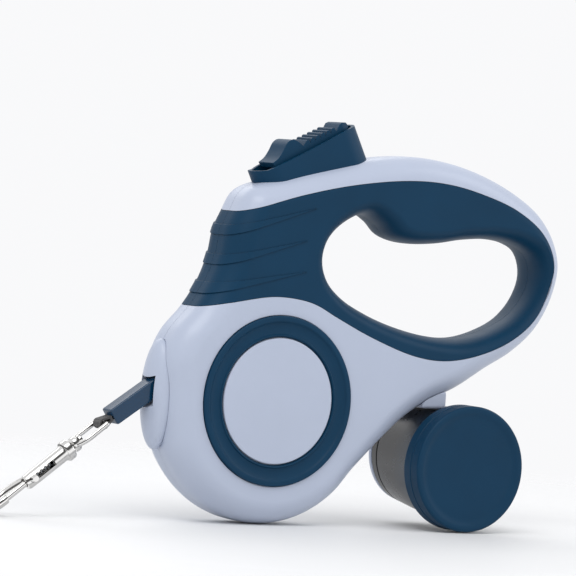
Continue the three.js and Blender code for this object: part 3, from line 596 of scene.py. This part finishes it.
LIGHT = plastic("light_casing", (172, 181, 200), rough=(0.3, 0.36), shade=0.965)
NAVY = plastic("navy_soft_touch", (4, 52, 80), rough=(0.42, 0.5), grain=6000, grain_strength=0.22,
               shade=0.86, specular=0.16)
NAVY_GLOSS = plastic("navy_gloss", (4, 50, 80), rough=(0.16, 0.24), grain_strength=0.04, shade=0.9)
# the cup's colour runs into a painted shade, darker and greyer towards its far end under the casing
CUP = plastic("cup_gloss", (10, 38, 58), rough=(0.24, 0.32), grain_strength=0.03, shade=0.9,
              painted_shade_far=((20, 22, 26), -13, 2))
# a black that stands for painted shade: the shaded underside at the cup's far end and the shade
# inside the tape's exit
SHADE_BLACK = plastic("painted_shade_black", (20, 21, 23), rough=(0.25, 0.35), shade=0.8)
NYLON = plastic("nylon", (217, 214, 204), rough=(0.4, 0.5), shade=0.93)
# the chrome's colour holds painted reflections, in bands across this direction
CHROME = painted_reflection_chrome("chrome", (-0.613, 0, 0.79))
STEEL = metal("spring_steel", (154, 158, 163), rough=(0.22, 0.36), bump=0.1)
TAPE = woven("tape_weave", (14, 15, 17), (42, 45, 50))
LOOP = woven("loop_weave", (58, 58, 60), (104, 103, 102))
FILM = plastic("bag_film", (52, 104, 82), rough=(0.3, 0.55), grain=900, grain_strength=0.5,
               shade=0.7)
CARD = plastic("card", (181, 155, 117), rough=(0.75, 0.9), grain=1800, grain_strength=0.4,
               shade=0.85)

# ---------- casing and grips ----------


def quarter_turn(steps):
    """Cosines and sines from 0 to 90 degrees."""
    angles = [math.pi / 2 * k / steps for k in range(steps + 1)]
    return [(math.cos(a), math.sin(a)) for a in angles]


def body_shape(name, shrink=0.0):
    """The whole casing, without its opening."""
    depth = HALF_THICK - shrink - EDGE_START
    turn = quarter_turn(14)
    loops = [inset(BODY, shrink + EDGE_REACH * (1 - cos)) for cos, sin in turn]
    return mirrored_loft(name, loops, [EDGE_START + depth * sin for cos, sin in turn])


def opening_cutter(name):
    """The finger opening, which flares to both sides."""
    depth = HALF_THICK - OPENING_STRAIGHT
    turn = quarter_turn(12)
    loops = [inset(OPENING, -OPENING_FLARE * (1 - cos)) for cos, sin in turn]
    levels = [OPENING_STRAIGHT + depth * sin for cos, sin in turn]
    return mirrored_loft(name, [*loops, loops[-1]], [*levels, HALF_THICK + 3])


def left_half():
    return block("half", (400, 200, 400), (0, -100 - PART_GAP, 0))


SLEEVE_DIR = Vector((-0.82, 0, -0.572)).normalized()
NOSE_EXIT = Vector((-41.5, 0, 45.8))
NOSE_TURN = Matrix.Translation(NOSE_EXIT * MM) @ Matrix.Rotation(
    math.pi - math.atan2(-SLEEVE_DIR.z, -SLEEVE_DIR.x), 4, "Y"
)


def turned_bar(name, width, height, low, high):
    """A bar through the nose along the way the tape leaves."""
    made = block(name, (high - low, width, height), ((low + high) / 2, 0, 0))
    made.data.transform(NOSE_TURN)
    return made


def nose_egg(name, grown):
    """An egg-shaped boss with a flat back."""
    rx, ry, rz = (radius + grown for radius in BOSS_RADII)
    loops, levels = [], []
    count, sides = 28, 72
    for k in range(count + 1):
        lean = math.radians(-88 + 176 * k / count)
        swell = math.cos(lean)
        angles = [2 * math.pi * i / sides for i in range(sides)]
        loops.append([
            Vector((BOSS_X + rx * swell * math.cos(a), BOSS_Z + rz * swell * math.sin(a)))
            for a in angles
        ])
        levels.append(ry * math.sin(lean))
    egg = loft(name, loops, levels)
    clip(egg, block("front", (40, 60, 60), (BOSS_BACK - 20 + grown, 0, BOSS_Z)))
    return egg


def ridge_bands():
    """Three wedges on the neck that stand a little proud and fade to the rear."""
    made = []
    for i, ((x0, z0), (x1, z1)) in enumerate(RIDGE_LINES):
        upper = Vector((x0 - 6, z0 - 1.5))
        lower = Vector((x0 - 6, z0 - 1.5 - RIDGE_DROP))
        wedge = anticlockwise([upper, Vector((x1, z1)), lower])
        piece = prism(f"ridge_{i}", wedge, -20, 20)
        clip(piece, body_shape("grown", -RIDGE_PROUD))
        made.append(piece)
    return made


def make_shell():
    """The left half of the pale casing, hollowed for the drum and the brake."""
    skin = through("skin", inset(GRIP, -SEAM))
    cut(skin, body_shape("under", GRIP_SKIN + SEAM))
    room = [(0, CAVITY_HALF), (DRUM_ROOM_R - 6.5, CAVITY_HALF), (DRUM_ROOM_R - 1.6, 6.6),
            (DRUM_ROOM_R, 3)]
    room = [(r, -y) for r, y in room] + room[::-1]
    shell = body_shape("left_shell")
    cut(
        shell,
        skin,
        through("lining", inset(OPENING, -RIM_WALL - SEAM)),
        turned("room", room, DRUM_X, DRUM_Z, 64),
        prism("neck", NECK, -6.9, 6.9),
        block("shaft", (11, 7.4, 18), (10.2, 0, 114)),
        nose_egg("pocket", SEAM),
        turned_bar("slot", GUIDE_WIDTH + 1, GUIDE_HEIGHT + 1, -9, 9),
        rod("recess", 29.7, -HALF_THICK - 2, -HALF_THICK + 0.9, DRUM_X, DRUM_Z, 96),
    )
    clip(shell, left_half())
    return shell


def make_panel():
    """The left navy grip, a skin on the neck and around the opening."""
    grip = body_shape("left_panel")
    unite(grip, *ridge_bands())
    clip(grip, through("zone", GRIP))
    back = body_shape("back", GRIP_SKIN)
    cut(back, through("keep", inset(OPENING, -RIM_WALL)))
    cut(grip, back, opening_cutter("hole"))
    clip(grip, left_half())
    return grip


def make_casing():
    shell, grip = make_shell(), make_panel()
    right_shell = mirror_image(shell, "right_shell", (1, -1, 1))
    right_panel = mirror_image(grip, "right_panel", (1, -1, 1))
    for piece in (right_shell, right_panel):
        cut(piece, *[rod("well", 2.6, 8.1, 30, x, z, 28) for x, z in SCREWS])
    for side, casing in (("left", shell), ("right", right_shell)):
        show(smooth(casing), "handle", LIGHT, f"{side}_casing")
    for side, panel in (("left", grip), ("right", right_panel)):
        show(smooth(panel), "handle", NAVY, f"{side}_grip")


# ---------- round trims ----------


def make_trims():
    ring_out = [
        (22.0, 11.35), (29.45, 11.35), *arc(28.85, 12.5, 0.6, 0, 90, 5), (27.9, 13.1),
        *arc(27.9, 12.3, 0.8, 90, 160, 4), (26.6, 12.25), (25.4, 12.0), (24.2, 11.98),
        (23.2, 12.15), *arc(22.75, 12.25, 0.4, 70, 180, 4), (22.35, 11.9), (22.0, 11.9),
    ]
    disc_out = [(0, 11.35), (21.75, 11.35), *arc(21.3, 12.05, 0.45, 0, 90, 5), (0, 12.5)]
    for side, sign in (("left", -1), ("right", 1)):
        ring = turned(f"{side}_ring", [(r, sign * y) for r, y in ring_out], DRUM_X, DRUM_Z, 160)
        show(smooth(ring, 40), "handle", NAVY, f"{side}_trim_ring")
        disc = turned(f"{side}_disc", [(r, sign * y) for r, y in disc_out], DRUM_X, DRUM_Z, 160)
        show(smooth(disc, 40), "handle", LIGHT, f"{side}_centre_disc")


# ---------- nose ----------


def make_nose():
    """The boss on the nose, and the guide that the tape leaves through, black as painted shade
    inside the exit.
    """
    plate = nose_egg("nose_boss", 0)
    cut(plate, turned_bar("slot", 8.8, 8.4, -12, 12))
    show(smooth(plate), "handle", LIGHT, "nose_plate")

    mouth = turned_bar("nose_mouth", GUIDE_WIDTH, GUIDE_HEIGHT, -5.5, -1)
    inner_width, inner_height = GUIDE_WIDTH - 2 * GUIDE_WALL, GUIDE_HEIGHT - 2 * GUIDE_WALL
    cut(mouth, turned_bar("inside", inner_width, inner_height, -7, 2))
    bevel(mouth, 0.3)
    # the guide's black is painted shade in the tape's exit
    show(smooth(mouth), "handle", SHADE_BLACK, "tape_guide")


# ---------- thumb brake ----------


def tray_plan(name, grow):
    """The boat-shaped plan, standing square to the tray's tilted rim."""
    half_width, end = TRAY_HALF_WIDTH + grow, TRAY_END + grow
    middle = (TRAY_FROM + TRAY_TO) / 2
    straight = (TRAY_TO - TRAY_FROM) / 2 - TRAY_END
    points = []
    for centre, start in ((middle + straight, -90), (middle - straight, 90)):
        for i in range(29):
            a = math.radians(start + 180 * i / 28)
            points.append(Vector((centre + end * math.cos(a), half_width * math.sin(a))))
    verts = [(p.x, p.y, z) for z in (0, 200) for p in points]
    made = new_object(name, verts, skin_faces(len(points), 2))
    made.data.transform(Matrix.Rotation(-TRAY_TILT, 4, "Y"))
    return made


def tray_side(name, lift=0.0):
    return prism(name, anticlockwise([Vector((x, z + lift)) for x, z in TRAY_SIDE]), -20, 20)


def make_brake():
    tray = tray_plan("brake_cradle", 0)
    clip(tray, tray_side("side"))
    upper = tray_side("upper", 1.6)
    unite(upper, tray_side("upper_2", 9))
    hollow = tray_plan("hollow", -TRAY_WALL)
    clip(hollow, upper)
    cut(tray, hollow, block("stem_hole", (9.4, 6.2, 30), (10.1, 0, 118)))
    show(smooth(bevel(tray, 0.3, 2, 50)), "handle", NAVY, "brake_tray")

    scoop = catmull_rom([(-3.6, 124.4), (-1.6, 126.0), (0.1, 128.6), (1.6, 131.6), (3.6, 132.9),
                         (6.0, 132.4), (8.2, 131.0)], 22, closed=False)
    ribs = []
    for i in range(6):
        x, z = 9.7 + RIB_STEP[0] * i, 133.2 + RIB_STEP[1] * i
        ribs += [Vector((x + dx, z + dz)) for dx, dz in RIB_SHAPE]
    tail = [Vector(p) for p in (
        (22.4, 139.6), (23.4, 140.2), (25.4, 140.3), (26.5, 139.6), (26.9, 138.2),
        (26.2, 133.8), (15, 129.4), (-2.4, 122.8),
    )]
    pad = prism("thumb_pad", anticlockwise(scoop + ribs + tail), -4.9, 4.9)
    clip(pad, tray_plan("round", -1.9))
    bevel(pad, 0.35, 3, 50)
    unite(pad, block("stem", (7, 5, 21), (9.6, 0, 119.5)))
    show(smooth(pad), "button", NAVY, "brake_button")


# ---------- screws ----------


def make_screws():
    profile = [(0, -6.5), (1.1, -5.5), (1.1, 8.4), (2.0, 8.4), (2.3, 8.7), (2.2, 9.5), (1.6, 9.9),
               (0, 10)]
    for i, (x, z) in enumerate(SCREWS):
        screw = turned(f"screw_{i + 1}", profile, x, z, 28)
        for turn in (0, 90):
            bar = block("cross", (2.5, 1.6, 0.55), (0, 0, 0))
            bar.data.transform(Matrix.Translation(Vector((x, 9.9, z)) * MM)
                               @ Matrix.Rotation(math.radians(turn + 20 * i), 4, "Y"))
            cut(screw, bar)
        show(smooth(screw), "handle", STEEL, f"case_screw_{i + 1}")


# ---------- sleeve and snap ----------

SNAP_DIR = Vector((-0.79, 0, -0.613)).normalized()
EYE_BAR = NOSE_EXIT + SLEEVE_DIR * EYE_REACH


def snap_place(roll):
    """From a frame whose +Y runs along the snap to its place at the bar of the eye."""
    down = Vector((-SNAP_DIR.z, 0, SNAP_DIR.x))
    across = down * math.cos(roll) + Vector((0, -math.sin(roll), 0))
    third = across.cross(SNAP_DIR)
    turn = Matrix((across, SNAP_DIR, third)).transposed().to_4x4()
    return Matrix.Translation(EYE_BAR * MM) @ turn


def make_sleeve():
    sleeve = turned_bar("end_sleeve", SLEEVE_WIDTH, SLEEVE_HEIGHT, SLEEVE_FROM, SLEEVE_TO)
    bevel(sleeve, 0.7)
    cut(sleeve, turned_bar("inside", 5.2, 1.3, -5, 22))
    show(smooth(sleeve, 30), "tape_end", NAVY_GLOSS, "leash_sleeve")


def make_eye():
    half = EYE_HALF_WIDTH
    eye = tube("eye_ring", [(-half, -0.2, 0), (-half, 4, 0), (-4.15, 8.6, 0), (-2.8, 11.4, 0),
                            (-1.2, 12.1, 0)], EYE_WIRE, 34)
    unite(
        eye,
        mirror_image(eye, "eye_other", (-1, 1, 1)),
        tube("eye_bar", [(-half, 0, 0), (0, 0, 0), (half, 0, 0)], EYE_WIRE, 12),
        ball("knuckle", 0.92, (-half, 0, 0)),
        ball("knuckle", 0.92, (half, 0, 0)),
        turned("boss", [(0, 10.9), (2.3, 10.9), (2.7, 11.4), (2.7, 12.7), (2.3, 13.2), (0, 13.2)],
               0, 0, 40),
    )
    cut(eye, rod("bore", 1.45, 5, 20, 0, 0))
    eye.data.transform(snap_place(EYE_ROLL))
    show(smooth(eye, 50), "eye", CHROME, "swivel_eye")


def make_snap():
    place = snap_place(SNAP_ROLL)
    shank = turned("shank", [
        (0, 9.2), (1.7, 9.2), (2.0, 9.5), (2.0, 10.3), (1.7, 10.6), (1.2, 10.7), (1.2, 17), (0, 17),
    ], 0, 0, 40)
    shank.data.transform(place)
    show(smooth(shank), "snap", CHROME, "swivel_shank")

    body = turned("hook_body", [
        (0, 14.2), (3.1, 14.2), *arc(3.1, 14.8, 0.6, -90, 0, 4), *arc(3.1, 16.4, 0.6, 0, 90, 4),
        (2.85, 17.2), (2.7, 17.8), (2.7, 30), (2.6, 33.8), (2.2, 34.6), (0, 34.6),
    ], 0, 0, 48)
    unite(body, tube("hook", [
        (0.6, 29, 0), (3.2, 32, 0), (7, 36, 0), (8.8, 40.5, 0), (8, 45.2, 0), (4.4, 48.1, 0),
        (1.1, 47.4, 0), (0, 44.8, 0), (0, 43.4, 0),
    ], 1.6, 90, 24))
    low, high = KNOB_AT - BOLT_TRAVEL - BOLT_R, KNOB_AT + BOLT_R
    cut(
        body,
        rod("bore", BOLT_BORE_R, 19, 36, 0, 0),
        rod("seat", 1.5, 10, 17.3, 0, 0),
        block("groove", (6, high - low, 2 * BOLT_R), (-3, (low + high) / 2, 0)),
    )
    body.data.transform(place)
    show(smooth(body, 50), "snap", CHROME, "snap_body")

    bolt = turned("bolt_pin", [
        (0, 31), (0.85, 31), (BOLT_R, 31.2), (BOLT_R, 42.5), (0.8, 43), (0, 43),
    ], 0, 0, 40)
    knob = turned("knob", [
        (0, 0), (0.75, 0), (0.75, 3.0), (1.2, 3.0), (1.45, 3.3), (1.45, 3.9), (1.1, 4.3), (0, 4.4),
    ], 0, 0, 36)
    knob.data.transform(Matrix.Translation((0, KNOB_AT * MM, 0))
                        @ Matrix.Rotation(math.radians(90), 4, "Z"))
    unite(bolt, knob)
    bolt.data.transform(place)
    show(smooth(bolt, 40), "bolt", CHROME, "snap_bolt")


def make_bolt_spring():
    """The spring behind the bolt; on the real snap it shortens as the bolt is pulled, and here it
    is drawn at one length on a mesh of its own.
    """
    sides = 16
    steps = sides * SPRING_TURNS
    coil = []
    for i in range(steps + 1):
        a = 2 * math.pi * i / sides
        coil.append((SPRING_R * math.cos(a), SPRING_FROM + SPRING_LENGTH * i / steps,
                     SPRING_R * math.sin(a)))
    spring = tube("snap_spring", coil, SPRING_WIRE, steps * 2, 8)
    spring.data.transform(snap_place(SNAP_ROLL))
    show(smooth(spring, 50), "snap", STEEL, "bolt_spring")
    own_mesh(spring)


# ---------- dispenser ----------


def cup_centre(y):
    share = (y - CUP_FROM) / CUP_LENGTH
    return CAP_X + CUP_LEAN * share, CAP_Z + CUP_RISE * share


def cup_ring(y, wall, sides=128):
    x, z = cup_centre(y)
    share = (y - CUP_FROM) / CUP_LENGTH
    radius = CUP_NEAR_R + (CUP_FAR_R - CUP_NEAR_R) * share - wall
    angles = [2 * math.pi * i / sides for i in range(sides)]
    return [Vector((x + radius * math.cos(a), z + radius * math.sin(a))) for a in angles]


def cup_piece(name, profile):
    """A slice of the leaning cone through levels of (y, wall)."""
    return loft(name, [cup_ring(y, wall) for y, wall in profile], [y for y, wall in profile])


def make_cup():
    cup = cup_piece("cup_shell", [(CUP_FROM, 0), (-6, 0), (5, 0), (13.2, 0), (13.5, 0.3)])
    cut(cup, cup_piece("inside", [(-20, CUP_WALL), (11.9, CUP_WALL)]))
    show(smooth(cup), "handle", CUP, "dispenser_cup")

    cap = turned("cap_shell", [
        (0, -20.9), (17.5, -20.9), (18.8, -21.05), (19.6, -21.35), (20.3, -21.5), (21.1, -21.5),
        *arc(21.3, -20.6, 0.9, -90, 0, 5), (22.2, -17.2), (21.95, -17.0), (21.95, -16.6),
        (22.2, -16.4), *arc(21.9, -12.8, 0.3, 0, 90, 3), (21.3, -12.5), (21.3, -19.8), (0, -19.8),
    ], CAP_X, CAP_Z, 160)
    show(smooth(cap, 40), "cap", NAVY, "dispenser_cap")

    # the black end band stands for painted shade on the underside of the cup's far edge
    plug = cup_piece("end_band", [(13.8, 0.5), (14.1, 0.0), (17.4, 0.0), (17.8, 0.4), (17.81, 3.5),
                                  (20.3, 3.5)])
    show(smooth(plug), "handle", SHADE_BLACK, "dispenser_end_plug")


def make_hanger():
    """The hoop around the cup's end, with the saddle under the casing that holds it."""
    saddle = block("saddle", (10, 29.3, 6.4), (68, 5.65, 45.6))
    bevel(saddle, 1.2, 4)
    cut(saddle, body_shape("grown", -0.25))
    hoop = cup_piece("hanger_shell", [(18.1, 0.3), (18.4, 0), (19.9, 0), (20.3, 0.4)])
    unite(hoop, saddle, block("strut", (8, 2.2, 8), (69, 19.2, 40.4)))
    cut(
        hoop,
        cup_piece("inner", [(16.5, HOOP_WALL), (21.5, HOOP_WALL)]),
        cup_piece("clear", [(-12, -0.3), (17.8, -0.3)]),
    )
    unite(hoop, block("tongue", (6.4, 5.6, 8), (68, 0, 46.5)))
    show(smooth(hoop), "handle", LIGHT, "dispenser_hanger")


def make_bag_roll():
    """A roll with the edges of its turns showing as rings on the near face."""
    rings = [(ROLL_BORE_R, ROLL_FROM)]
    for i in range(ROLL_TURNS):
        r = 6.5 + (14.4 - 6.5) * i / (ROLL_TURNS - 1)
        rings += [(r - 0.25, ROLL_FROM), (r, -15.5), (r + 0.25, ROLL_FROM), (r + 0.3, -15.0)]
    rings += [(ROLL_R, -15.2), (ROLL_R, ROLL_TO), (ROLL_BORE_R, ROLL_TO)]
    roll = turned("bag_spiral", rings, *cup_centre(ROLL_MIDDLE), 72)
    show(smooth(roll, 40), "bags", FILM, "bag_roll")


# ---------- the pieces that stay as the CAD made them ----------


def dress_cad_nodes():
    finishes = {
        "spool": NYLON, "spring_cover": NYLON, "spool_bush_left": NYLON, "spool_bush_right": NYLON,
        "guide_roller": NYLON, "brake_lever": NYLON, "wound_tape": TAPE, "tape_run": TAPE,
        "tape_end_loop": LOOP, "power_spring": STEEL, "spool_axle": STEEL,
        "guide_roller_pin": STEEL, "brake_lever_pin": STEEL, "brake_lever_spring": STEEL,
        "bag_core": CARD,
    }
    for name, material in finishes.items():
        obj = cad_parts[name]
        obj.data.materials.clear()
        obj.data.materials.append(material)
        bevel_modifier(obj, 0.12, 2, 40)


make_casing()
make_trims()
make_nose()
make_brake()
make_screws()
make_sleeve()
make_eye()
make_snap()
make_bolt_spring()
make_cup()
make_hanger()
make_bag_roll()
dress_cad_nodes()

# ---------- floor, light and camera ----------


def make_floor():
    """A pale floor just under the part, which fades out before its edge."""
    sides, radius, middle = 96, 1400, 25
    verts = [(0, 0, 0)]
    for i in range(sides):
        a = 2 * math.pi * i / sides
        verts.append((middle + radius * math.cos(a), radius * math.sin(a), 0))
    faces = [(0, i + 1, (i + 1) % sides + 1) for i in range(sides)]
    floor = new_object("floor", verts, faces)
    floor.location.z = -0.0002
    n = Nodes("floor")
    n.join(n.ramp(n.noise(3, 2.0), (0.73, 0.735, 0.74, 1), (0.76, 0.765, 0.77, 1)),
           n.shader["Base Color"])
    n.shader["Roughness"].default_value = 0.6
    away = n.add("ShaderNodeVectorMath")
    away.operation = "LENGTH"
    n.join(n.place, away.inputs[0])
    n.join(n.span(away.outputs["Value"], 1, 0, 0.17, 0.4), n.shader["Alpha"])
    floor.data.materials.append(n.material)


def area_light(name, size, power, place):
    """A rectangular light that looks at the part."""
    data = bpy.data.lights.new(name, "AREA")
    data.shape = "RECTANGLE"
    data.size, data.size_y = size
    data.energy = power
    obj = linked(name, data)
    obj.location = place
    away = Vector((0.02, 0, 0.06)) - Vector(place)
    obj.rotation_euler = away.to_track_quat("-Z", "Y").to_euler()


def make_light():
    world = bpy.data.worlds.new("studio")
    world.use_nodes = True
    background = world.node_tree.nodes["Background"]
    background.inputs["Color"].default_value = (0.985, 0.987, 1.0, 1)
    background.inputs["Strength"].default_value = 0.96
    bpy.context.scene.world = world
    area_light("key", (0.9, 0.6), 5.5, (-0.5, -0.6, 1.1))
    area_light("side", (0.5, 0.9), 2.4, (1.0, -0.5, 0.7))
    area_light("back", (1.2, 0.4), 3, (0.1, 1.0, 0.9))


def make_camera():
    """The camera as it was fitted to the photo, with its focal length and centre in pixels."""
    size, focal, centre_x, centre_y = 576, 4306.1, 323.87, 323.57
    azimuth, elevation, roll = (math.radians(a) for a in (-32.324, 1.978, 4.32))
    distance = 1.5
    back = Vector((math.sin(azimuth) * math.cos(elevation),
                   -math.cos(azimuth) * math.cos(elevation), math.sin(elevation)))
    right = Vector((math.cos(azimuth), math.sin(azimuth), 0))
    up = back.cross(right)
    across = right * math.cos(roll) + up * math.sin(roll)
    over = up * math.cos(roll) - right * math.sin(roll)
    data = bpy.data.cameras.new("camera")
    camera = linked("camera", data)
    place = Vector((0.025, 0, 0.07)) + SHIFT * MM + back * distance
    turn = Matrix((across, over, back)).transposed().to_4x4()
    camera.matrix_world = Matrix.Translation(place) @ turn
    data.sensor_width = 36
    data.lens = focal / size * 36
    data.shift_x = -(centre_x - size / 2) / size
    data.shift_y = (centre_y - size / 2) / size
    data.clip_start, data.clip_end = 0.1, 50
    bpy.context.scene.camera = camera


make_floor()
make_light()
make_camera()
bpy.context.scene.view_settings.view_transform = "Standard"

bpy.context.view_layer.update()
